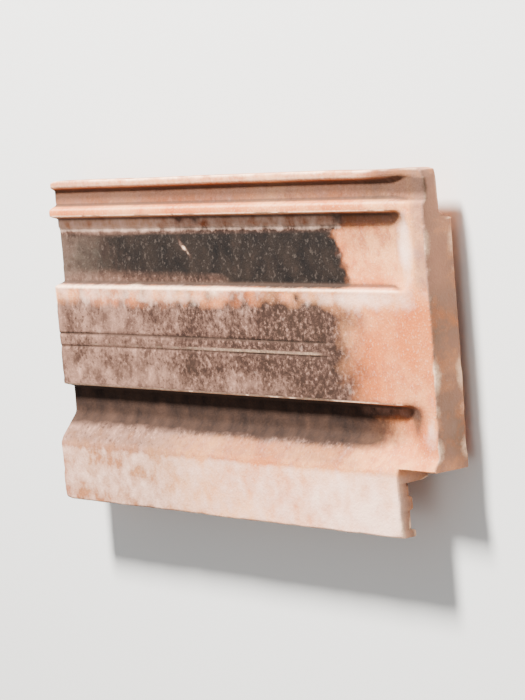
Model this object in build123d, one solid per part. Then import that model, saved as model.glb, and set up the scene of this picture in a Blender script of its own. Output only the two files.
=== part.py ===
"""An interlocking clay roof tile with two troughs and a raised band between them.

The tile is pressed from one piece of clay and fired. Sizes are in millimetres. While it is
drawn, X runs across the tile from its ribbed edge, Y up the roof from its foot to its head,
and Z out of its weather face, from the plane that it rests on when it lies on its back.
"""
from build123d import *
from math import radians, tan
import os

# The whole tile
length = 420
width = 240
wall = 12
nib_depth = 12

# Weather face
band_rise = 9
trough_1_bed = 47
trough_2_bed = 20
side_draft = 0.3
shoulder_height = 1.2
shoulder_ease = 1.4
cove_height = 1
cove_ease = 1.6
bed_corner = 7
mouth_corner = 14
head_rim = 12
head_slope = 18

# Twin lines pressed along the band
line_gap = 9.5
line_offset = 3
line_width = 1.6
line_depth = 0.8
line_length = 322

# Side lock along the ribbed edge
edge_rib_crest = 5
edge_rib_rise = 6
channel_bed = 12
channel_rise = 2
channel_end_run = 26
rib_flank = 2
inner_rib_crest = 5.5
lock_wall = 8
lock_step = 3
bearing_strip = 6
strip_rise = 1

# Cover flange, which laps over the side lock of the next tile
flange_wall = 6
flange_slope = 40
flange_land = 1
outer_lip = 5
inner_lip = 8
joint_clearance = 1
tongue_clearance = 2
flange_setback = 36
notch_corner = 4

# Back
hollow_depth = 9
hollow_corner = 8
hollow_margin = 6
back_rim = 13
back_rim_depth = 4
nose = 14
rear_rib = 7
rear_rib_place = 36
rear_rib_lift = 4
nib_width = 28
nib_length = 18
nib_round = 8
nib_heel = 5
nib_setback = 8

# Rounding of pressed and worn edges
soft = 2
fine = 1.2

# How far a cut runs on past the surface, or an added piece sinks into the wall
overrun = 5
sink = 1

# Levels above the resting plane
back_z = nib_depth
floor_z = back_z + wall
band_z = floor_z + band_rise
edge_rib_z = floor_z + edge_rib_rise
channel_z = floor_z + channel_rise
lock_back_z = channel_z - lock_wall
strip_z = floor_z + strip_rise
flange_back_z = band_z + joint_clearance
flange_z = flange_back_z + flange_wall
lip_z = strip_z + joint_clearance
tongue_z = channel_z + joint_clearance
hollow_z = back_z + hollow_depth

# Places across the tile, from its ribbed edge
side_run = side_draft * band_rise
flange_run = 1 / tan(radians(flange_slope))
channel_left = edge_rib_crest + rib_flank
channel_right = channel_left + channel_bed
rib_left = channel_right + rib_flank
rib_right = rib_left + inner_rib_crest
trough_1_left = rib_right + side_run
trough_1_right = trough_1_left + trough_1_bed
band_left = trough_1_right + side_run
cover_width = width - outer_lip - joint_clearance - trough_1_left
cavity_left = cover_width - joint_clearance
lip_left = cavity_left - inner_lip
flange_left = lip_left - flange_land
trough_2_right = flange_left - flange_run * (flange_z - floor_z)
rim_right = trough_2_right + flange_run * band_rise
trough_2_left = trough_2_right - trough_2_bed
band_right = trough_2_left - side_run

# Places up the tile, from its foot
head_run = band_rise / tan(radians(head_slope))
bed_end = length - head_rim - head_run


def rounded_face(corners):
    """A closed outline from points that each end in their own corner radius."""
    points = [(across, up) for across, up, radius in corners]
    radii = [radius for across, up, radius in corners]
    return make_face(FilletPolyline(*points, radius=radii, close=True))


def prism(corners, start, end):
    """A section across the tile, in X and Z, carried up the tile from start to end."""
    section = Plane.XZ * rounded_face(corners)
    return Pos(0, start, 0) * extrude(section, amount=start - end)


def bar(corners, left, right):
    """A section along the tile, in Y and Z, carried across the tile from left to right."""
    section = Plane.YZ * rounded_face(corners)
    return Pos(left, 0, 0) * extrude(section, amount=right - left)


def level_outline(left, right, start, end, start_corner, end_corner, z):
    """A rectangle seen from above, with its corners rounded, at one height."""
    corners = [
        (left, start, start_corner),
        (right, start, start_corner),
        (right, end, end_corner),
        (left, end, end_corner),
    ]
    return Pos(0, 0, z) * rounded_face(corners)


def blank():
    """The section with its lock and flange, still level between them at the band's height."""
    lip_inside = width - outer_lip
    tongue_left = cover_width + channel_left + tongue_clearance
    tongue_right = cover_width + channel_right - tongue_clearance
    return prism(
        [
            (0, lock_back_z, fine),
            (0, edge_rib_z, soft),
            (edge_rib_crest, edge_rib_z, soft),
            (channel_left, channel_z, fine),
            (channel_right, channel_z, fine),
            (rib_left, band_z, soft),
            (rim_right, band_z, 0),
            (flange_left, flange_z, 2 * soft),
            (width, flange_z, 2 * soft),
            (width, lip_z, fine),
            (lip_inside, lip_z, fine),
            (lip_inside, flange_back_z, soft),
            (tongue_right + fine, flange_back_z, fine),
            (tongue_right, tongue_z, fine),
            (tongue_left, tongue_z, fine),
            (tongue_left - fine, flange_back_z, fine),
            (cavity_left, flange_back_z, soft),
            (cavity_left, back_z, fine),
            (lip_left, back_z, fine),
            (lip_left - fine, floor_z, fine),
            (trough_2_right + flange_run * wall, floor_z, fine),
            (trough_2_right, back_z, soft),
            (trough_1_left + lock_step, back_z, soft),
            (trough_1_left, lock_back_z, soft),
        ],
        0,
        length,
    )


def trough(left, right, right_run, right_ease):
    """A drafted bed, open at the foot, whose head slopes up to the rim."""
    levels = [
        (0, -cove_ease, 0),
        (cove_height, 0, 0),
        (band_rise - shoulder_height, 0, 0),
        (band_rise, shoulder_ease, right_ease),
        (band_rise + overrun, shoulder_ease, right_ease),
    ]
    sections = []
    for rise, ease, flange_ease in levels:
        climb = min(rise, band_rise)
        corner = bed_corner + (mouth_corner - bed_corner) * climb / band_rise
        sections.append(
            level_outline(
                left - side_draft * climb - ease,
                right + right_run * climb + (ease if climb < cove_height else flange_ease),
                -overrun,
                bed_end + head_run * climb / band_rise + ease,
                0,
                corner + ease,
                floor_z + rise,
            )
        )
    return loft(sections, ruled=True)


def channel_end():
    """The slope that closes the side lock's channel at the head."""
    return bar(
        [
            (length - channel_end_run - head_rim, channel_z - sink, 0),
            (length - head_rim, edge_rib_z, soft),
            (length, edge_rib_z, 0),
            (length, channel_z - sink, 0),
        ],
        edge_rib_crest / 2,
        rib_left + sink,
    )


def strip():
    """The low strip beside the inner rib, on which the next tile's flange comes down."""
    edge = trough_1_left + bearing_strip
    return prism(
        [
            (rib_right - sink, floor_z - sink, 0),
            (rib_right - sink, strip_z, 0),
            (edge, strip_z, strip_rise / 2),
            (edge + strip_rise, floor_z - sink, 0),
        ],
        0,
        bed_end + head_run / 2,
    )


def band_line(x):
    """One fine line along the band."""
    return prism(
        [
            (x - line_width, band_z + line_depth, 0),
            (x, band_z - line_depth, 0),
            (x + line_width, band_z + line_depth, 0),
        ],
        -overrun,
        line_length,
    )


def band_hollow():
    """The hollow that keeps the band's wall as thick as the troughs'."""
    start = nose + hollow_margin
    end = length - back_rim - hollow_margin
    draft = side_draft * hollow_depth
    mouth_left = trough_1_right + wall
    mouth_right = trough_2_left - wall
    mouth = [mouth_left, mouth_right, start, end, hollow_corner, hollow_corner]
    roof = [mouth_left + draft, mouth_right - draft, start + draft, end - draft]
    roof += [hollow_corner - draft, hollow_corner - draft]
    return loft(
        [
            level_outline(*mouth, back_z - overrun),
            level_outline(*mouth, back_z),
            level_outline(*roof, hollow_z),
        ],
        ruled=True,
    )


def cross_rib(start, end, lift):
    """A rib across the back that follows the weather face of the tile below."""
    over_band = band_z - floor_z + joint_clearance + lift
    left = trough_1_left + bearing_strip + strip_rise + joint_clearance
    return prism(
        [
            (left, lift, fine),
            (trough_1_right - joint_clearance, lift, fine),
            (band_left - joint_clearance, over_band, fine),
            (band_right + joint_clearance, over_band, fine),
            (trough_2_left + joint_clearance, lift, fine),
            (trough_2_right - joint_clearance, lift, fine),
            (flange_left, flange_z - floor_z + lift, fine),
            (flange_left, floor_z + sink, 0),
            (trough_2_right, floor_z - sink, 0),
            (left, floor_z - sink, 0),
        ],
        start,
        end,
    )


def head_back_rim():
    """The thicker edge along the back of the head, which closes the flange's groove."""
    left = trough_1_left + lock_step
    return prism(
        [
            (left, back_z - back_rim_depth, fine),
            (flange_left, back_z - back_rim_depth, fine),
            (flange_left, floor_z + sink, 0),
            (trough_2_right, floor_z - sink, 0),
            (left, floor_z - sink, 0),
        ],
        length - back_rim,
        length,
    )


def nib(x):
    """A hanging nib. Its foot side is square, to hook over the batten."""
    end = length - nib_setback
    start = end - nib_length
    across = prism(
        [
            (x - nib_width / 2, floor_z - sink, 0),
            (x - nib_width / 2, 0, nib_round),
            (x + nib_width / 2, 0, nib_round),
            (x + nib_width / 2, floor_z - sink, 0),
        ],
        start,
        end,
    )
    along = bar(
        [
            (start - sink, floor_z, 0),
            (start - sink, -sink, 0),
            (end - nib_heel, -sink, 0),
            (end, back_z, 0),
            (end, floor_z, 0),
        ],
        x - nib_width,
        x + nib_width,
    )
    return across & along


def flange_notch():
    """The corner cut from the head end of the flange, where four tiles meet."""
    plan = level_outline(
        flange_left,
        width + overrun,
        length - flange_setback,
        length + overrun,
        notch_corner,
        0,
        -overrun,
    )
    return extrude(plan, amount=flange_z + 2 * overrun)


def roof_tile():
    """The whole tile, centred over its resting plane."""
    tile = blank()
    tile -= trough(trough_1_left, trough_1_right, side_draft, shoulder_ease)
    tile -= trough(trough_2_left, trough_2_right, flange_run, 0)
    tile += channel_end()
    tile += strip()
    tile -= band_hollow()
    tile += cross_rib(0, nose, 0)
    tile += cross_rib(rear_rib_place, rear_rib_place + rear_rib, rear_rib_lift)
    tile += head_back_rim()
    tile += nib((trough_1_left + trough_1_right) / 2)
    tile += nib((trough_2_left + flange_left) / 2)
    tile -= flange_notch()
    lines_middle = (band_left + band_right) / 2 + line_offset
    for side in (-1, 1):
        tile -= band_line(lines_middle + side * line_gap / 2)
    return Pos(-width / 2, -length / 2, 0) * tile


os.makedirs("parts", exist_ok=True)
export_step(roof_tile(), "parts/roof_tile.step")
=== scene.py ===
"""An interlocking clay roof tile, lying on its nibs and its foot on a pale floor."""
import math
import bpy
import numpy as np
from mathutils import Matrix, Vector


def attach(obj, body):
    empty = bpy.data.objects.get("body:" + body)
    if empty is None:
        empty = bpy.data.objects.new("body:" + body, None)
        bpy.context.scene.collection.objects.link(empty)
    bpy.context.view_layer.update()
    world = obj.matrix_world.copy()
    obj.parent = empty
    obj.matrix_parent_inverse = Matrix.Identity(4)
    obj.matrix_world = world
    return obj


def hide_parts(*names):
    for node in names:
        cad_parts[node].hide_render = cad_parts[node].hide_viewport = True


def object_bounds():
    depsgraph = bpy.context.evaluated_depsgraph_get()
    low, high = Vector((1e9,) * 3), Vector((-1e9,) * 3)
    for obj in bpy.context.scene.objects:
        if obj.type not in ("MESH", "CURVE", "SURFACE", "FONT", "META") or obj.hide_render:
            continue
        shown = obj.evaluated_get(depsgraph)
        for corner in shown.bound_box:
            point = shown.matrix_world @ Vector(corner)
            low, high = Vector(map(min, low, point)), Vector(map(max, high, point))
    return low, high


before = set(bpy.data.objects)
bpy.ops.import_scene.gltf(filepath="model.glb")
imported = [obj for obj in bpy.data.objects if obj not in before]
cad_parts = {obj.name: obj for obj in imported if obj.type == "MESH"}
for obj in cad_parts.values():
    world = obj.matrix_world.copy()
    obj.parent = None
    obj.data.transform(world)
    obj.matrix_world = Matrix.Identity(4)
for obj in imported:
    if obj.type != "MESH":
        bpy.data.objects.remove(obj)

cad_box = [list(corner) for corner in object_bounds()]

# The floor: a plain pale sheet, painted matt, that the tile lies on. It runs 6 m each way, past
# the edges of the view.
floor_mesh = bpy.data.meshes.new("floor")
floor_mesh.from_pydata([(-6, -6, 0), (6, -6, 0), (6, 6, 0), (-6, 6, 0)], [], [(0, 1, 2, 3)])
floor = bpy.data.objects.new("floor", floor_mesh)
bpy.context.collection.objects.link(floor)


def to_linear(code):
    """An sRGB hex colour as linear red, green and blue, with full alpha: each part over 12.92 in
    the darkest tones, and otherwise (part + 0.055) / 1.055 to the power of 2.4."""
    parts = [int(code[i:i + 2], 16) / 255 for i in (1, 3, 5)]
    return [p / 12.92 if p <= 0.04045 else ((p + 0.055) / 1.055) ** 2.4 for p in parts] + [1.0]


floor_paint = bpy.data.materials.new("matt floor paint")
floor_paint.use_nodes = True
paint = floor_paint.node_tree.nodes["Principled BSDF"]
paint.inputs["Base Color"].default_value = to_linear("#DAD7D1")
paint.inputs["Roughness"].default_value = 0.8
floor_mesh.materials.append(floor_paint)

# The light: a lamp less than half a metre wide on the side of the ribbed edge, which lights the
# crests and the flanks that face it, a wide weak lamp across from it, and a pale sky over both.
for name, place, size, watts in (
    ("key lamp", (-1.95, -0.1, 1.35), 0.45, 400),
    ("fill lamp", (1.2, 0.8, 2.2), 1.8, 16),
):
    lamp = bpy.data.lights.new(name, "AREA")
    lamp.shape = "DISK"
    lamp.size = size
    lamp.energy = watts
    lamp_object = bpy.data.objects.new(name, lamp)
    lamp_object.location = place
    lamp_object.rotation_euler = (-Vector(place)).to_track_quat("-Z", "Y").to_euler()
    bpy.context.collection.objects.link(lamp_object)
sky = bpy.data.worlds.new("pale sky")
sky.use_nodes = True
sky.node_tree.nodes["Background"].inputs["Color"].default_value = to_linear("#E9EDF3")
sky.node_tree.nodes["Background"].inputs["Strength"].default_value = 0.6
bpy.context.scene.world = sky

# The tile: one lump of clay, pressed between two moulds and fired. Each mould gives one face, so
# the weather face and the back are both heights over one plan, and a wall joins them round the
# outline. Millimetres: x from the ribbed edge, y from the foot, and heights from the floor. The
# whole size comes from the bounds of model.glb, and the top of the tile is the flange.
width, length, flange = (round(1000 * (high - low), 1) for low, high in zip(*cad_box))
back, bed, band = 12.0, 24.0, 33.0
edge_rib, channel, inner_rib = 30.0, 26.0, 32.4
rim_start, bed_end = length - 12, length - 39.7
notch_left, notch_foot = width - 45.2, length - 36
line_1, line_2, line_end = 114.2, 123.7, 325.0

# Each trough is a pan, open past the foot. Its bed and its mouth are rectangles with rounded
# corners: left, right, start, end and corner radius. The right one has a flat slope up to the
# flange on its right.
draft, past_foot = 2.7, -60.0
left_bed = (29.2, 76.2, past_foot, bed_end, 7)
left_mouth = (left_bed[0] - draft, left_bed[1] + draft, past_foot, rim_start, 14)
right_bed = (155.7, 175.7, past_foot, bed_end, 7)
right_mouth = (right_bed[0] - draft, right_bed[1] + 10.7, past_foot, rim_start, 14)


def rounded_line(s, corners):
    """A level line that changes slope at corners of (place, height, ease): the first height plus,
    for each corner, its change of slope times the way past it. Within the ease on both sides
    of a corner a parabola takes the place of the kink."""
    place, height, ease = (np.array(part, float) for part in zip(*corners))
    slope = np.diff(height) / np.diff(place)
    bend = np.diff(np.concatenate(([0.0], slope, [0.0])))
    past = s[..., None] - place
    ramp = np.where(np.abs(past) < ease, (past + ease) ** 2 / (4 * ease), np.maximum(past, 0))
    return height[0] + (ramp * bend).sum(-1)


def lower_of(a, b, ease):
    """The lower of two surfaces. Where they are nearer than the ease, a parabola rounds the
    edge between them."""
    near = np.maximum(ease - np.abs(a - b), 0)
    return np.minimum(a, b) - near ** 2 / (4 * ease)


def higher_of(a, b, ease):
    """The higher of two surfaces, with the hollow between them rounded in the same way."""
    return -lower_of(-a, -b, ease)


def pan_level(x, y, inner, outer):
    """How far out of a drafted pan a point of the plan lies: 0 on the outline of its bed and 1 on
    that of its mouth. The level is found by halving until the point lies on the rounded
    rectangle for that level, where its distance from the rectangle is nought."""
    low, high = np.full(x.shape, -0.5), np.full(x.shape, 3.0)
    for halving in range(22):
        level = (low + high) / 2
        left, right, start, end, corner = (a + (b - a) * level for a, b in zip(inner, outer))
        half_x, half_y = (right - left) / 2, (end - start) / 2
        corner = np.clip(corner, 0.1, np.minimum(half_x, half_y))
        over_x = np.abs(x - (left + right) / 2) - half_x + corner
        over_y = np.abs(y - (start + end) / 2) - half_y + corner
        beyond = np.hypot(np.maximum(over_x, 0), np.maximum(over_y, 0))
        outside = beyond + np.minimum(np.maximum(over_x, over_y), 0) > corner
        low, high = np.where(outside, level, low), np.where(outside, high, level)
    return (low + high) / 2


def mottle(u, v, size, seed):
    """Smooth random relief from -1 to 1: random heights on a square lattice of the given size,
    joined by a smooth step both ways."""
    cells, margin = 600, 20
    heights = np.random.default_rng(seed).uniform(-1, 1, (cells, cells))
    a, b = u / size + margin, v / size + margin
    i, j = np.floor(a).astype(int) % (cells - 1), np.floor(b).astype(int) % (cells - 1)
    f, g = a - np.floor(a), b - np.floor(b)
    f, g = f * f * (3 - 2 * f), g * g * (3 - 2 * g)
    near = heights[i, j] * (1 - g) + heights[i, j + 1] * g
    far = heights[i + 1, j] * (1 - g) + heights[i + 1, j + 1] * g
    return near * (1 - f) + far * f


def bell(offset, size):
    """1 at no offset, fading out both ways: e to the power of minus the square of the offset
    over the size."""
    return np.exp(-(offset / size) ** 2)


def weather_face(x, y):
    """The height of the weather face: the section of lock, band and flange, lowered to the two
    troughs, whose sides and head slopes are pan levels times the band's rise. The wear rounds
    the edges between them, more in some places than in others."""
    wear = 1.9 + 0.7 * mottle(x, y, 17, 1) + 3.2 * np.maximum(mottle(x, y, 5, 2) - 0.4, 0)
    section = rounded_line(x, [
        (-1, edge_rib, 0.5), (5.2, edge_rib, 1.5), (7, channel, 1.2), (19, channel, 1.2),
        (21, inner_rib, 1.6), (26.5, inner_rib, 1.5), (31, band, 1.5), (185.4, band, 2),
        (194.2, flange, 3.5), (250, flange, 1),
    ])
    # The channel of the lock ends in a slope at the head
    lock_end = rounded_line(y, [(380, 24, 3), (rim_start, 30.4, 4)])
    section = higher_of(section, lock_end, 2.0)
    # The low strip beside the inner rib carries the lip that laps over it
    strip = rounded_line(x, [(20, 25, 1), (35.2, 25, 0.8), (36.2, bed, 0.5), (40, 15, 0.5)])
    cove = 2.2
    left = bed + (band - bed) * pan_level(x, y, left_bed, left_mouth)
    left = higher_of(higher_of(left, bed + 0 * x, cove), strip, 0.8)
    right = bed + (band - bed) * pan_level(x, y, right_bed, right_mouth)
    right = higher_of(right, bed + 0 * x, cove)
    face = lower_of(lower_of(section, left, wear), right, wear)
    # The twin lines vary in depth, wander a little and run out before the head
    run_out = np.clip((line_end - y) / 25, 0, 1) * (0.75 + 0.25 * mottle(y, x * 0, 22, 18))
    for line in (line_1, line_2):
        face = face - run_out * bell(x - line - 0.4 * mottle(y, x * 0, 60, 3), 0.8)
    return face


def back_face(x, y):
    """The height of the back: its section with the flange's pockets, the hollow under the band,
    and the ribs, head rim and nibs that stand down from it. Where these meet, a small ease
    rounds the edge between them."""
    small = 0.8
    # From left to right: under the lock, the back, the flange's groove, its inner lip, the two
    # pockets with the tongue between them, and its outer lip
    lock_back, pocket, tongue, lip = 18.0, 34.0, 27.0, 26.0
    section = rounded_line(x, [
        (-1, lock_back, 0.5), (29.2, lock_back, 1.5), (32.2, back, 1.5), (175.7, back, 2),
        (190, bed, 1.2), (194.6, bed, 0.8), (195.6, back + 0.6, 0.4), (196.4, back, 0.4),
        (203, back, 0.5), (203.8, back + 0.8, 0.2), (204.1, pocket, 0.1), (212.4, pocket, 0.8),
        (213.6, tongue + 0.6, 0.4), (214.3, tongue, 0.4), (221.3, tongue, 0.4),
        (222, tongue + 0.6, 0.4), (223.2, pocket, 0.8), (234.8, pocket, 0.1),
        (235.1, lip + 0.8, 0.2), (235.9, lip, 0.4), (250, lip, 1),
    ])
    # The hollow is a pan upside down, and its roof is the smaller outline
    roof = 21.0
    hollow = pan_level(x, y, (90.9, 141, 22.7, 398.3, 5.3), (88.2, 143.7, 20, 401, 8))
    hollow = lower_of(roof - (roof - back) * hollow, roof + 0 * x, 1.5)
    face = higher_of(section, hollow, 1.2)
    # The foot and the rib behind it follow the tile's own weather face, to lap over its like. Here
    # and below, a height of 30 stands clear of the back. It also cuts the roofs of the two pockets
    # down from 34 to 30, which leaves them 4 mm shallower than in the solid.
    over_tile = rounded_line(x, [
        (36.8, 30, 0.1), (37.1, 1, 0.2), (38.2, 0, 0.5), (75.2, 0, 1.2), (77.9, 10, 1.2),
        (154, 10, 1.2), (156.7, 0, 1.2), (174.7, 0, 1.5), (195, 16.4, 0.6), (195.6, 30, 0.1),
    ])
    for lift, start, end in ((0, -5, 14), (4, 36, 43)):
        along = rounded_line(y, [
            (start - 0.4, 30, 0.1), (start, 0.7, 0.1), (start + 0.9, 0, 0.4),
            (end - 0.9, 0, 0.4), (end, 0.7, 0.1), (end + 0.4, 30, 0.1),
        ])
        face = lower_of(face, higher_of(over_tile, along, small) + lift, small)
    # The edge at the head is thicker
    head_rim = higher_of(
        rounded_line(x, [(31.8, 30, 0.1), (32.2, 8.8, 0.2), (33.2, 8, 0.4), (250, 8, 1)]),
        rounded_line(y, [(406.6, 30, 0.1), (407, 8.8, 0.2), (408, 8, 0.4), (430, 8, 1)]),
        small,
    )
    face = lower_of(face, head_rim, small)
    # The nibs are square towards the foot, to hook over a batten, and rounded at both ends
    hook = rounded_line(y, [
        (393.6, 30, 0.1), (394, 0.8, 0.2), (395, 0, 0.5), (407, 0, 2), (412, back, 1),
        (length, 31, 1),
    ])
    nib_round, nib_half = 8, 14
    for middle in (52.7, 175.3):
        off = np.abs(x - middle)
        rounding = np.clip(off - nib_half + nib_round, 0, nib_round)
        block = nib_round - np.sqrt(nib_round ** 2 - rounding ** 2)
        block = block + 60 * np.maximum(off - nib_half, 0)
        face = lower_of(face, higher_of(block, hook, 1.5), small)
    return face


def plan_lines(folds, end, fine, coarse):
    """Grid lines that lie closest at the folds of a face: the gap is fine there and grows by a
    third of the way from the nearest fold up to coarse, and the lines are even steps of the
    running sum of one over the gap."""
    s = np.linspace(0, end, 12001)
    gap = np.minimum(fine + np.abs(s[:, None] - folds).min(1) / 3, coarse)
    steps = np.concatenate(([0], np.cumsum(np.diff(s) / (0.5 * (gap[1:] + gap[:-1])))))
    lines = np.interp(np.linspace(0, steps[-1], int(steps[-1]) + 1), steps, s)
    lines = lines[np.abs(lines[:, None] - folds).min(1) > 0.35 * fine]
    return np.unique(np.concatenate((lines, folds)))


# The folds are the corners of both faces' sections, and the lines next to them keep edges crisp
across = plan_lines(np.array([
    0, 0.3, 1, 5.2, 7, 19, 21, 26.5, 29.2, 32.2, 36.8, 37.1, 38.55, 38.85, 52, 66.6, 66.9, 76.2,
    78.9, 88.2, 90.9, line_1, line_2, 141, 143.7, 153, 155.7, 161.1, 161.4, 175.7, 189.2, 189.5,
    notch_left, 195.6, 203.8, 204.1, 212.4, 213.6, 222, 223.2, 234.8, 235.1, 239, 239.7, width,
]), width, fine=0.75, coarse=4.5)
up = plan_lines(np.array([
    0, 0.3, 1, 14, 14.4, 20, 22.7, 35.6, 36, 43, 43.4, 155, 324, bed_end, notch_foot, 393.6, 394,
    398.3, 401, 406.6, 407, rim_start, 412, 419, 419.7, length,
]), length, fine=0.8, coarse=3.6)
x, y = np.meshgrid(across, up, indexing="ij")

# How near a point is to the outline, which is a rectangle without the notch at the flange's head
beside_notch = np.hypot(np.maximum(notch_left - x, 0), np.maximum(notch_foot - y, 0))
inset = np.minimum.reduce([x, width - x, y, length - y, beside_notch])


def fall(inset, radius):
    """How far an edge falls off towards the outline: a quarter circle of the radius."""
    into = np.clip(radius - inset, 0, radius)
    return radius - np.sqrt(radius ** 2 - into ** 2)


edge_radius = 1.3 + 0.5 * mottle(x, y, 11, 4) + 2.4 * np.maximum(mottle(x, y, 4.5, 5) - 0.4, 0)
top = weather_face(x, y) - fall(inset, edge_radius)
under = back_face(x, y) + fall(inset, 1.3)

# Clay shrinks and sags a little in the kiln, and years of frost pit its face. The back is uneven
# too, apart from what the tile rests on.
top -= 0.22 * (1 + mottle(x, y, 85, 6)) + 0.10 * (1 + mottle(x, y, 9, 7))
top -= 0.35 * np.maximum(mottle(x, y, 4, 8) - 0.55, 0)
under += 0.12 * (1 + mottle(x, y, 30, 9)) * (under > 0.6)


def worn_edge(s, wander, wander_size, bite, bite_size, seed):
    """How far an edge has worn inwards at each place s along it: a slow wander, plus bites where
    a second, finer relief stands above 0.6."""
    slow = mottle(s, 0 * s, wander_size, seed)
    quick = mottle(s, 0 * s, bite_size, seed + 1)
    return wander * np.maximum(slow, 0) + bite * np.maximum(quick - 0.6, 0)


# The outline wanders inwards by up to a millimetre or so, more where an edge has chipped. This
# dies out over the first 9 mm from each edge, where the corners are also worn by 1.3 mm.
reach, corner_wear = 9.0, 1.3
by_ribs, by_flange = np.clip(1 - x / reach, 0, 1), np.clip(1 - (width - x) / reach, 0, 1)
by_foot, by_head = np.clip(1 - y / reach, 0, 1), np.clip(1 - (length - y) / reach, 0, 1)
corner_x, corner_y = by_ribs - by_flange, by_foot - by_head
moved_x = (
    x + corner_wear * corner_x * corner_y ** 2
    + worn_edge(y, 0.5, 60, 1.1, 9, 14) * by_ribs - worn_edge(y, 0.5, 70, 1.2, 8, 16) * by_flange
)
moved_y = (
    y + corner_wear * corner_y * corner_x ** 2
    + worn_edge(x, 0.6, 26, 3.0, 7, 10) * by_foot - worn_edge(x, 0.6, 30, 2.6, 8, 12) * by_head
)

# What the weather has done to each point, and where light and shade are painted, as marks from 0
# for none to about 1 for all. On a roof a strip along the ribbed edge and the head are lapped
# over, so both stay cleaner. Water stands in the beds and darkens them, edges are rubbed pale,
# dirt stays in the hollows, crests get a painted highlight and hollows painted shade.


def bulge(face, reach):
    """How far a face stands above the mean of its heights at a reach on four sides, as a share
    of the reach: above nought at an edge, below nought in a hollow."""
    around = face(x + reach, y) + face(x - reach, y) + face(x, y + reach) + face(x, y - reach)
    return (face(x, y) - around / 4) / reach


def fade(value, start, end):
    """A smooth step from 0 at the start to 1 at the end."""
    share = np.clip((value - start) / (end - start), 0, 1)
    return share * share * (3 - 2 * share)


def between(value, start, full, still, end):
    """A smooth window: a step up from the start to full, and one down from still to the end."""
    return fade(value, start, full) * fade(value, end, still)


def spot(at_x, at_y, size_x, size_y):
    """A round or drawn-out patch: a bell across times a bell up the tile."""
    return bell(x - at_x, size_x) * bell(y - at_y, size_y)


top_bulge, back_bulge = bulge(weather_face, 1.5), bulge(back_face, 1.5)
near_edge = np.clip(1 - inset / 2.2, 0, 1)
near_edge = near_edge * np.clip(0.5 + 0.6 * mottle(x + y, y - x, 15, 21), 0.1, 1)
end_face = fade(inset, 1.4, 0.2)
left_pan = pan_level(x, y, left_bed, left_mouth)
right_pan = pan_level(x, y, right_bed, right_mouth)
foot_half = fade(y, 260, 180)

# Parts of the tile that weather in their own way. The shaded corners, at the heads of the left
# strip and of the right trough, lie low beside a crest, and get painted shade.
in_channel = between(x, 4.5, 8, 18, 21) * fade(y, 392, 350)
on_strip = between(x, 27, 29, 37, 41)
crest = between(x, 76, 80, 81 + 4 * foot_half, 96 + 2 * foot_half)
flange_slope, on_flange = fade(x, 180, 188), fade(x, 192, 200)
shaded_corners = (
    between(x, 154, 156, 160, 166) * between(y, 325, 350, 398, 408)
    + between(x, 27, 29, 34, 40) * between(y, 318, 332, 394, 406)
)

# The head was lapped over down to a ragged line, which slants across the left trough. The film
# ends there within a few millimetres, and fades out slowly on the band and the right trough.
in_left_trough = x < 79
ragged_y = (
    y + (3 + 4 * fade(x, 76, 84)) * mottle(x, y, 11, 20) + 3 * mottle(x, y, 4, 24)
    - np.where(in_left_trough, 0.45, 0.12) * (x - 60)
)
film_end, film_full = np.where(in_left_trough, 335, 374), np.where(in_left_trough, 319, 300)
open_face = np.minimum(fade(x, 34.5, 40.5), fade(ragged_y, film_end, film_full))

# A slanting scrape in the left bed
off_x, off_y = x - 52, y - 155
scrape = bell(off_x + off_y, 11) * bell(off_x - off_y, 2.4) * (0.65 + 0.6 * mottle(x, y, 3, 22))

# The film of weather: full on the open face, rubbed along the band's left crest, thinner on the
# flange, and thinner still on what was lapped over: the strip, the channel and the head. Over the
# shaded corners the same film is painted shade, which turns them brown.
top_marks = {}
top_marks["weather_film_and_shade"] = (
    open_face * (
        1 - flange_slope * (0.15 + 0.3 * fade(y, 100, 180))
        - on_flange * (0.2 + 0.25 * fade(y, 120, 290))
        - crest * np.clip(0.55 + 0.5 * mottle(x, y, 7, 23), 0, 1)
    )
    + on_strip * (0.45 + 0.2 * fade(y, 110, 160)) * fade(y, 335, 320)
    + 0.6 * in_channel + 0.55 * fade(x, 23, 19) * fade(y, 345, 380)
    + 0.7 * shaded_corners
    + 0.38 * between(x, 35, 40, 42, 66) * between(y, 318, 332, 390, 408)
    + 0.35 * between(x, 19, 23, 70, 84) * fade(y, 402, 412)
)

# How dark the film is and how its flecks crowd: more and more from the foot to the head, and less
# at the band's right crest, on the flange, on the lock and in the shaded corners
crowded = (
    0.3 + 0.45 * fade(y, 60, 170) + 0.35 * fade(y, 190, 280) + 0.1 * fade(x, 110, 130)
    - 0.35 * between(x, 134, 144, 153, 156) + 0.3 * mottle(x, y, 24, 19)
)
crowded = crowded * (1 - 0.5 * fade(x, 176, 186)) * (1 - 0.5 * fade(x, 22, 20))
top_marks["crowded"] = np.clip(crowded * (1 - 0.8 * shaded_corners), 0, 1)

# Soot in the left bed, scraped off in one place and washed thinner towards the foot
top_marks["soot"] = (
    open_face * fade(left_pan, 0.6, 0.1) * fade(x, 36, 43) * (1 - scrape)
    * (1 - 0.45 * fade(x, 65, 75) * fade(y, 215, 185))
    * (0.82 + 0.05 * fade(y, 2, 22) + 0.13 * fade(y, 20, 150))
)

# Mud in the right bed, up to the head, where it thins out on both sides
top_marks["mud"] = (
    np.clip(fade(right_pan, 1.05, 0.15) + 0.2 * mottle(x, y, 8, 25), 0, 1)
    * (1 - 0.75 * fade(y, 330, 396) * fade(x, 157, 167)
       - 0.65 * fade(y, 318, 348) * fade(x, 167, 158))
    * fade(x, 152, 154) * fade(right_pan, 1.2, 1.0)
)
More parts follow.
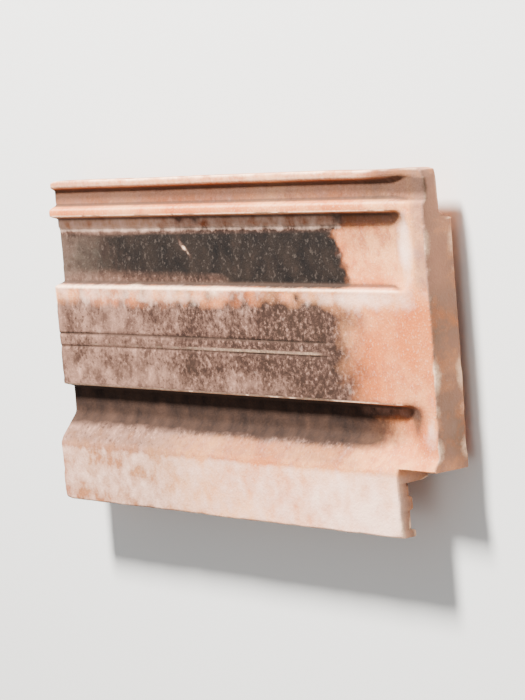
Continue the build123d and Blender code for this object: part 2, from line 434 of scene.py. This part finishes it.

# Pale clay where edges are rubbed, and at two chips on the band's left crest. The pale on crests
# that stand out, along the ridge between the twin lines and on the edge rib is a painted
# highlight.
top_marks["rubbed_and_highlight"] = np.clip(
    np.maximum(top_bulge * 1.4, near_edge) + 0.9 * scrape + 0.4 * foot_half * crest
    + 0.4 * spot(77, 97, 3, 8) + 0.4 * spot(81, 197, 3, 7)
    + (0.35 + 0.2 * fade(y, 120, 200)) * bell(x - line_2 + 2, 1.2) * between(y, 5, 50, 300, 326)
    + 0.4 * fade(x, 7, 5) * (1 - 0.8 * fade(y, 350, 376)), 0, 1,
)

# Dirt and painted shade in every hollow. Painted shade also at the foot of the inner rib, wider on
# the lap, across the channel and at its head end, in the twin lines, most in the first, and in
# spots at the head of the right trough. Dirt in spots along the strip, and the edge rib darker
# towards its head end.
lap_shade = fade(y, 324, 336)
top_marks["dirt_and_shade"] = np.clip(
    np.clip(-top_bulge * 2.2, 0, 1)
    + (0.45 + 0.1 * lap_shade) * bell(x - 29, 1.6 + 1.4 * lap_shade) * fade(y, 404, 390)
    + 1.0 * spot(157, 396, 7, 12) + 0.85 * spot(166, 396, 9, 7) + 0.9 * spot(7, 396, 3, 12)
    + 0.9 * spot(31, 152, 2.5, 4) + 0.9 * spot(31, 171, 2.5, 4) + 0.8 * spot(31, 326, 4, 4)
    + 0.95 * between(x, 4.5, 8, 11, 22) * (1 + 0.3 * fade(y, 372, 392))
    + 0.4 * fade(x, 7, 4) * fade(y, 350, 385)
    + (0.75 * bell(x - line_1, 1.1) + 0.25 * bell(x - line_2, 1.1)) * fade(y, 326, 300), 0, 1,
)

# Salts that bloom pale: in patches on the lap at the head, on the flange, the crest and the strip.
# The pale patch at the head of the left trough is a painted highlight.
top_marks["bloom_and_highlight"] = np.clip(
    0.7 * spot(85, 350, 6, 40) + 1.1 * spot(52, 397, 19, 10) + 0.5 * spot(168, 414, 14, 6)
    + 0.4 * spot(224, 356, 26, 60) + (0.4 + 0.15 * fade(y, 100, 280)) * fade(x, 196, 202)
    + (0.15 + 0.15 * foot_half) * crest
    + (0.6 - 0.15 * fade(y, 110, 160)) * on_strip * fade(y, 335, 324), 0, 1,
)

# Stain on the end faces, most at the head, on the head rim, and at the foot of the left bed
top_marks["stained"] = (
    end_face * np.where(y > 418, 1.0, 0.55) + 0.7 * fade(x, 84, 70) * fade(y, 403, 413)
    + 0.45 * fade(left_pan, 0.6, 0.1) * fade(x, 38, 44) * fade(y, 110, 0)
)

# Clay that the kiln's flame has turned redder
top_marks["flame"] = 1.2 * spot(104, 358, 18, 36) + 0.2 * spot(166, 404, 20, 10)

# The back stays clean, apart from rubbed edges with a painted highlight on its ridges, dirt and
# painted shade in its hollows, a little mud on what the tile rests on, and stain
none = 0 * x
back_marks = {
    "weather_film_and_shade": none,
    "crowded": 0.3 + none,
    "soot": none,
    "mud": 0.35 * fade(np.abs(under), 3, 0.5),
    "rubbed_and_highlight": np.clip(np.maximum(-back_bulge * 1.4, near_edge), 0, 1),
    "dirt_and_shade": np.clip(back_bulge * 1.5, 0, 1),
    "bloom_and_highlight": 0.2 + none,
    "stained": 0.3 + 0.7 * end_face,
    "flame": none,
}

# Faces: both height fields where the plan has clay. The back's points follow the weather face's,
# and its quads run the other way round, so that both face outwards.
columns, rows = x.shape
face_points = columns * rows
mid_x, mid_y = (across[1:] + across[:-1]) / 2, (up[1:] + up[:-1]) / 2
clay_cell = ~((mid_x[:, None] > notch_left) & (mid_y[None, :] > notch_foot))
number = np.arange(face_points).reshape(columns, rows)
a, b, c, d = number[:-1, :-1], number[1:, :-1], number[1:, 1:], number[:-1, 1:]
weather_quads = np.stack([a, b, c, d], -1)[clay_cell]
back_quads = np.stack([a, d, c, b], -1)[clay_cell] + face_points

# The outline: each grid edge with clay on its left and none on its right
padded = np.pad(clay_cell, 1)
edges = []
for start, end, inside, outside in (
    (number[:-1, :], number[1:, :], padded[1:-1, 1:], padded[1:-1, :-1]),
    (number[1:, :], number[:-1, :], padded[1:-1, :-1], padded[1:-1, 1:]),
    (number[:, 1:], number[:, :-1], padded[1:, 1:-1], padded[:-1, 1:-1]),
    (number[:, :-1], number[:, 1:], padded[:-1, 1:-1], padded[1:, 1:-1]),
):
    on_outline = inside & ~outside
    edges.append(np.stack([start[on_outline], end[on_outline]], -1))
edges = np.concatenate(edges)
outline = np.unique(edges)
place_in_ring = np.full(face_points, -1)
place_in_ring[outline] = np.arange(len(outline))

# The wall: three rings of points between the two faces, each an even share of the way down. Their
# marks are mixed in the same shares, but rubbing and painted highlight, and dirt and painted
# shade, are faint on the wall.
top_points = np.stack([moved_x, moved_y, top], -1).reshape(-1, 3)
back_points = np.stack([moved_x, moved_y, under], -1).reshape(-1, 3)
top_values = {name: mark.ravel() for name, mark in top_marks.items()}
back_values = {name: mark.ravel() for name, mark in back_marks.items()}
wall_values = {name: [] for name in top_marks}
wall_rings = 3
rings = [edges]
wall_points = []
for ring in range(1, wall_rings + 1):
    share = ring / (wall_rings + 1)
    wall_points.append(top_points[outline] * (1 - share) + back_points[outline] * share)
    for name in top_marks:
        mark = top_values[name][outline] * (1 - share) + back_values[name][outline] * share
        wall_values[name].append(mark * (0.25 if name in ("rubbed_and_highlight", "dirt_and_shade") else 1))
    rings.append(2 * face_points + (ring - 1) * len(outline) + place_in_ring[edges])
rings.append(edges + face_points)
wall_quads = np.concatenate([
    np.stack([upper[:, 0], lower[:, 0], lower[:, 1], upper[:, 1]], -1)
    for upper, lower in zip(rings[:-1], rings[1:])
])

# All points and quads together, without the points in the notch, in metres about the tile's
# middle, and set down on the floor
points = np.concatenate([top_points, back_points] + wall_points)
quads = np.concatenate([weather_quads, back_quads, wall_quads])
used = np.unique(quads)
renumber = np.full(len(points), -1)
renumber[used] = np.arange(len(used))
quads = renumber[quads]
points = (points[used] - [width / 2, length / 2, 0]) / 1000
points[:, 2] -= points[:, 2].min()
points = np.clip(points, cad_box[0], cad_box[1])

tile_mesh = bpy.data.meshes.new("clay_tile")
tile_mesh.vertices.add(len(points))
tile_mesh.vertices.foreach_set("co", points.astype(np.float32).ravel())
tile_mesh.loops.add(quads.size)
tile_mesh.loops.foreach_set("vertex_index", quads.astype(np.int32).ravel())
tile_mesh.polygons.add(len(quads))
tile_mesh.polygons.foreach_set("loop_start", np.arange(0, quads.size, 4, dtype=np.int32))
tile_mesh.update(calc_edges=True)
tile_mesh.validate()
tile_mesh.shade_smooth()
tile_mesh.set_sharp_from_angle(angle=math.radians(50))
for name in top_marks:
    values = np.concatenate([top_values[name], back_values[name]] + wall_values[name])[used]
    attribute = tile_mesh.attributes.new(name, "FLOAT", "POINT")
    attribute.data.foreach_set("value", values.astype(np.float32))
tile = bpy.data.objects.new("clay_tile", tile_mesh)
bpy.context.collection.objects.link(tile)
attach(tile, "root")
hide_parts("roof_tile")

# Unglazed fired clay, pressed and then weathered: a dry, open surface with no gloss, peach to red
# by its place in the kiln, under a mauve and grey film of weather where it lay in the open
fired_clay = bpy.data.materials.new("fired clay, unglazed and weathered")
fired_clay.use_nodes = True
clay_tree = fired_clay.node_tree


def add(kind, inputs, **settings):
    """A node of one kind with its settings. Each input takes a number, a colour or a link."""
    node = clay_tree.nodes.new(kind)
    for name, value in settings.items():
        setattr(node, name, value)
    for name, value in inputs.items():
        if isinstance(value, bpy.types.NodeSocket):
            clay_tree.links.new(value, node.inputs[name])
        else:
            node.inputs[name].default_value = value
    return node


place_on_tile = add("ShaderNodeTexCoord", {}).outputs["Object"]
marks = {
    name: add("ShaderNodeAttribute", {}, attribute_name=name).outputs["Fac"] for name in top_marks
}

# Kiln flashing changes over 70 mm and blotches over 12 mm. Real grog and pores measure half a
# millimetre or less, which is too fine to show, so they are drawn at 1.6 mm. Silt dries in soft
# clouds of 20 by 14 mm, and flecks of growth on the film are 3.5 mm.
flashing = add("ShaderNodeTexNoise", {"Vector": place_on_tile, "Scale": 1 / 0.07, "Detail": 3.0})
blotch = add("ShaderNodeTexNoise", {
    "Vector": place_on_tile, "Scale": 1 / 0.012, "Detail": 5.0, "Roughness": 0.62,
})
grain = add("ShaderNodeTexNoise", {
    "Vector": place_on_tile, "Scale": 1 / 0.0016, "Detail": 3.0, "Roughness": 0.6,
})
cloud_size = add("ShaderNodeMapping", {
    "Vector": place_on_tile, "Scale": (1 / 0.02, 1 / 0.014, 1 / 0.02),
})
cloud = add("ShaderNodeTexNoise", {"Vector": cloud_size.outputs[0], "Scale": 1.0, "Detail": 4.0})
fleck = add("ShaderNodeTexNoise", {
    "Vector": place_on_tile, "Scale": 1 / 0.0035, "Detail": 5.0, "Roughness": 0.75,
})

# The clay itself: orange to peach by the kiln's flashing, redder at the flame, with pale grog and
# dark pores. Inputs 0, 6 and 7 of a Mix node are its share and its two colours, and output 2 is
# their mix. The inputs of a Math node are its numbers in order.
flashed = add("ShaderNodeMapRange", {
    "Value": flashing.outputs["Fac"], "From Min": 0.38, "From Max": 0.62,
})
body = add("ShaderNodeMix", {
    0: flashed.outputs[0], 6: to_linear("#BE6430"), 7: to_linear("#DE9562"),
}, data_type="RGBA")
flamed = add("ShaderNodeMath", {
    0: marks["flame"], 1: 0.16, 2: blotch.outputs["Fac"],
}, operation="MULTIPLY_ADD")
redder = add("ShaderNodeMapRange", {
    "Value": flamed.outputs[0], "From Min": 0.47, "From Max": 0.66, "To Max": 0.68,
})
body = add("ShaderNodeMix", {
    0: redder.outputs[0], 6: body.outputs[2], 7: to_linear("#B2572F"),
}, data_type="RGBA")
grog = add("ShaderNodeMapRange", {
    "Value": grain.outputs["Fac"], "From Min": 0.56, "From Max": 0.7, "To Max": 0.28,
})
body = add("ShaderNodeMix", {
    0: grog.outputs[0], 6: body.outputs[2], 7: to_linear("#F0CDB0"),
}, data_type="RGBA")
pore = add("ShaderNodeMapRange", {
    "Value": grain.outputs["Fac"], "From Min": 0.42, "From Max": 0.3, "To Max": 0.4,
})
body = add("ShaderNodeMix", {
    0: pore.outputs[0], 6: body.outputs[2], 7: to_linear("#8C543F"),
}, data_type="RGBA")

# The film of weather, mauve and speckled with darker and paler flecks. Its border is broken up by
# the blotches, and it darkens as the flecks crowd. In the shaded corners it is painted shade.
ragged = add("ShaderNodeMath", {
    0: blotch.outputs["Fac"], 1: 0.5, 2: marks["weather_film_and_shade"],
}, operation="MULTIPLY_ADD")
film_and_shade_share = add("ShaderNodeMapRange", {
    "Value": ragged.outputs[0], "From Min": 0.35, "From Max": 1.12, "To Max": 0.98,
})
clouded = add("ShaderNodeMapRange", {
    "Value": blotch.outputs["Fac"], "From Min": 0.36, "From Max": 0.64,
})
film = add("ShaderNodeMix", {
    0: clouded.outputs[0], 6: to_linear("#50392F"), 7: to_linear("#946E5C"),
}, data_type="RGBA")
aged = add("ShaderNodeMapRange", {"Value": marks["crowded"], "To Max": 0.75})
film = add("ShaderNodeMix", {
    0: aged.outputs[0], 6: film.outputs[2], 7: to_linear("#1E1512"),
}, data_type="RGBA")
crowd = add("ShaderNodeMath", {
    0: marks["crowded"], 1: 0.16, 2: -0.6,
}, operation="MULTIPLY_ADD")
flecked = add("ShaderNodeMath", {
    0: fleck.outputs["Fac"], 1: crowd.outputs[0],
}, operation="ADD")
dark_fleck = add("ShaderNodeMapRange", {
    "Value": flecked.outputs[0], "From Min": 0.01, "From Max": 0.1, "To Max": 0.75,
})
film = add("ShaderNodeMix", {
    0: dark_fleck.outputs[0], 6: film.outputs[2], 7: to_linear("#120C0A"),
}, data_type="RGBA")
pale_fleck = add("ShaderNodeMapRange", {
    "Value": fleck.outputs["Fac"], "From Min": 0.45, "From Max": 0.33, "To Max": 0.45,
})
film = add("ShaderNodeMix", {
    0: pale_fleck.outputs[0], 6: film.outputs[2], 7: to_linear("#B48873"),
}, data_type="RGBA")
colour = add("ShaderNodeMix", {
    0: film_and_shade_share.outputs[0], 6: body.outputs[2], 7: film.outputs[2],
}, data_type="RGBA")

# Pale bloom of salts over clay and film, and a painted highlight at the head of the left trough
bloom_and_highlight_share = add("ShaderNodeMath", {
    0: blotch.outputs["Fac"], 1: 1.4, 2: marks["bloom_and_highlight"],
}, operation="MULTIPLY_ADD")
bloom_and_highlight_share = add("ShaderNodeMapRange", {
    "Value": bloom_and_highlight_share.outputs[0], "From Min": 0.9, "From Max": 1.7, "To Max": 0.85,
})
colour = add("ShaderNodeMix", {
    0: bloom_and_highlight_share.outputs[0], 6: colour.outputs[2], 7: to_linear("#FFD3B8"),
}, data_type="RGBA")

# Soot in the left bed, with grains of sand in it, and mud in the right one, both dried in clouds
silt = add("ShaderNodeMath", {
    0: cloud.outputs["Fac"], 1: fleck.outputs["Fac"],
}, operation="ADD")
silt = add("ShaderNodeMapRange", {
    "Value": silt.outputs[0], "From Min": 0.72, "From Max": 1.38,
})
soot = add("ShaderNodeMix", {
    0: silt.outputs[0], 6: to_linear("#020202"), 7: to_linear("#291F18"),
}, data_type="RGBA")
sandy = add("ShaderNodeMapRange", {
    "Value": fleck.outputs["Fac"], "From Min": 0.46, "From Max": 0.36, "To Max": 0.2,
})
soot = add("ShaderNodeMix", {
    0: sandy.outputs[0], 6: soot.outputs[2], 7: to_linear("#7A6A5E"),
}, data_type="RGBA")
sooted = add("ShaderNodeMath", {
    0: blotch.outputs["Fac"], 1: 0.35, 2: marks["soot"],
}, operation="MULTIPLY_ADD")
sooted = add("ShaderNodeMapRange", {
    "Value": sooted.outputs[0], "From Min": 0.35, "From Max": 1.1,
})
colour = add("ShaderNodeMix", {
    0: sooted.outputs[0], 6: colour.outputs[2], 7: soot.outputs[2],
}, data_type="RGBA")
mud = add("ShaderNodeMix", {
    0: silt.outputs[0], 6: to_linear("#0D0705"), 7: to_linear("#412D22"),
}, data_type="RGBA")
muddy = add("ShaderNodeMath", {
    0: blotch.outputs["Fac"], 1: 0.35, 2: marks["mud"],
}, operation="MULTIPLY_ADD")
muddy = add("ShaderNodeMapRange", {
    "Value": muddy.outputs[0], "From Min": 0.35, "From Max": 0.9, "To Max": 0.92,
})
colour = add("ShaderNodeMix", {
    0: muddy.outputs[0], 6: colour.outputs[2], 7: mud.outputs[2],
}, data_type="RGBA")

# Grey-brown stain, most on the end faces, which stood in the open
stain = add("ShaderNodeMix", {
    0: flashed.outputs[0], 6: to_linear("#716153"), 7: to_linear("#966D5B"),
}, data_type="RGBA")
stained = add("ShaderNodeMath", {
    0: marks["stained"], 1: blotch.outputs["Fac"],
}, operation="MULTIPLY")
stained = add("ShaderNodeMapRange", {
    "Value": stained.outputs[0], "From Min": 0.1, "From Max": 0.55, "To Max": 0.85,
})
colour = add("ShaderNodeMix", {
    0: stained.outputs[0], 6: colour.outputs[2], 7: stain.outputs[2],
}, data_type="RGBA")

# Edges rubbed down to pale clay and crests given a painted highlight, and brown dirt and painted
# shade in the hollows
rubbed_and_highlight = add("ShaderNodeMath", {
    0: marks["rubbed_and_highlight"], 1: fleck.outputs["Fac"],
}, operation="MULTIPLY")
rubbed_and_highlight = add("ShaderNodeMapRange", {
    "Value": rubbed_and_highlight.outputs[0], "From Min": 0.15, "From Max": 0.55, "To Max": 0.92,
})
colour = add("ShaderNodeMix", {
    0: rubbed_and_highlight.outputs[0], 6: colour.outputs[2], 7: to_linear("#FFD2AC"),
}, data_type="RGBA")
dirt_and_shade_share = add("ShaderNodeMapRange", {
    "Value": marks["dirt_and_shade"], "From Min": 0.1, "From Max": 0.9, "To Max": 0.8,
})
colour = add("ShaderNodeMix", {
    0: dirt_and_shade_share.outputs[0], 6: colour.outputs[2], 7: to_linear("#38281F"),
}, data_type="RGBA")

# The face is uneven by up to a millimetre over each blotch, and rough with grog and pores. Dry,
# unglazed clay hardly shines, so it is rough everywhere and its specular level is low.
relief = add("ShaderNodeBump", {
    "Height": blotch.outputs["Fac"], "Strength": 0.5, "Distance": 0.0012,
})
relief = add("ShaderNodeBump", {
    "Height": grain.outputs["Fac"], "Strength": 0.6, "Distance": 0.0006,
    "Normal": relief.outputs[0],
})
dryness = add("ShaderNodeMapRange", {
    "Value": fleck.outputs["Fac"], "To Min": 0.78, "To Max": 0.98,
})
clay = clay_tree.nodes["Principled BSDF"]
clay_tree.links.new(colour.outputs[2], clay.inputs["Base Color"])
clay_tree.links.new(dryness.outputs[0], clay.inputs["Roughness"])
clay_tree.links.new(relief.outputs[0], clay.inputs["Normal"])
clay.inputs["Specular IOR Level"].default_value = 0.15
tile_mesh.materials.append(fired_clay)

# The camera looks down on the head end from 1.9 m through a long lens, and is turned so that the
# ribbed edge is on top, with a slight tilt.
camera = bpy.data.cameras.new("camera")
camera.lens = 140
camera.sensor_fit = "VERTICAL"
camera.sensor_height = 36
camera_object = bpy.data.objects.new("camera", camera)
bpy.context.collection.objects.link(camera_object)
distance, tilt = 1.9, math.radians(-4.7)
away = Vector((-0.10, 0.78, 0.616)).normalized()
target = Vector((0.004, 0.010, 0.012))
rib_side = Vector((-1, 0, 0))
up_view = (rib_side - rib_side.dot(away) * away).normalized()
right_view = up_view.cross(away)
turn = Matrix((right_view, up_view, away)).transposed() @ Matrix.Rotation(tilt, 3, "Z")
camera_object.matrix_world = Matrix.Translation(target + distance * away) @ turn.to_4x4()
bpy.context.scene.camera = camera_object
